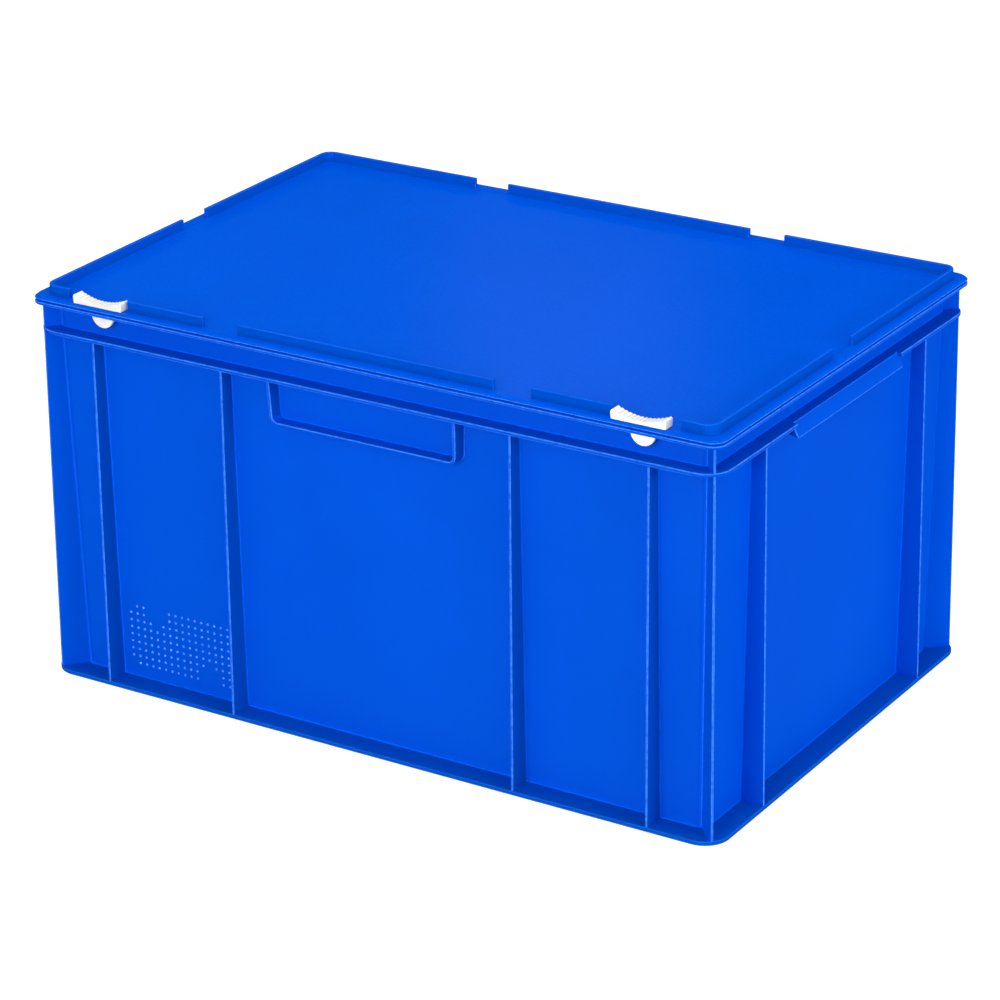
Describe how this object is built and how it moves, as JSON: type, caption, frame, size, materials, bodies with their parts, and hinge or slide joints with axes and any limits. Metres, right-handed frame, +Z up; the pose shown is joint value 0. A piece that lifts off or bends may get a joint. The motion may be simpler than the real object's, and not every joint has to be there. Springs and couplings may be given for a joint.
{
  "type": "lidded stacking container",
  "caption": "Straight-sided ribbed stacking container with a hinged flat lid, a raised stacking ring and two sliding latches on the front.",
  "frame": {"origin": "centre of the footprint, at the underside of the stacking foot", "axes": "+X along the long side, -Y towards the latched front, +Y towards the hinges, +Z up"},
  "size_m": [0.6, 0.4, 0.3298],
  "materials": {
    "container_body": "moulded polypropylene, satin",
    "lid": "moulded polypropylene, fine grain",
    "latch_left": "moulded, smooth",
    "latch_right": "moulded, smooth",
    "hinge_clip_left": "moulded, satin",
    "hinge_clip_right": "moulded, satin",
    "hinge_pin_left": "drawn wire",
    "hinge_pin_right": "drawn wire"
  },
  "bodies": {
    "container": {"container_body": "container_body", "hinge_clip_left": "hinge_clip_left", "hinge_clip_right": "hinge_clip_right", "hinge_pin_left": "hinge_pin_left", "hinge_pin_right": "hinge_pin_right"},
    "lid": {"lid": "lid"},
    "latch_left": {"latch_left": "latch_left"},
    "latch_right": {"latch_right": "latch_right"}
  },
  "joints": [
    {"name": "lid_hinge", "type": "hinge", "parent": "container", "child": "lid", "pos_m": [0, 0.196, 0.3055], "axis": [-1, 0, 0], "range_deg": [0, 110]},
    {"name": "latch_left_slide", "type": "slide", "parent": "lid", "child": "latch_left", "axis": [-1, 0, 0], "range_m": [0, 0.0065]},
    {"name": "latch_right_slide", "type": "slide", "parent": "lid", "child": "latch_right", "axis": [1, 0, 0], "range_m": [0, 0.0065]}
  ]
}
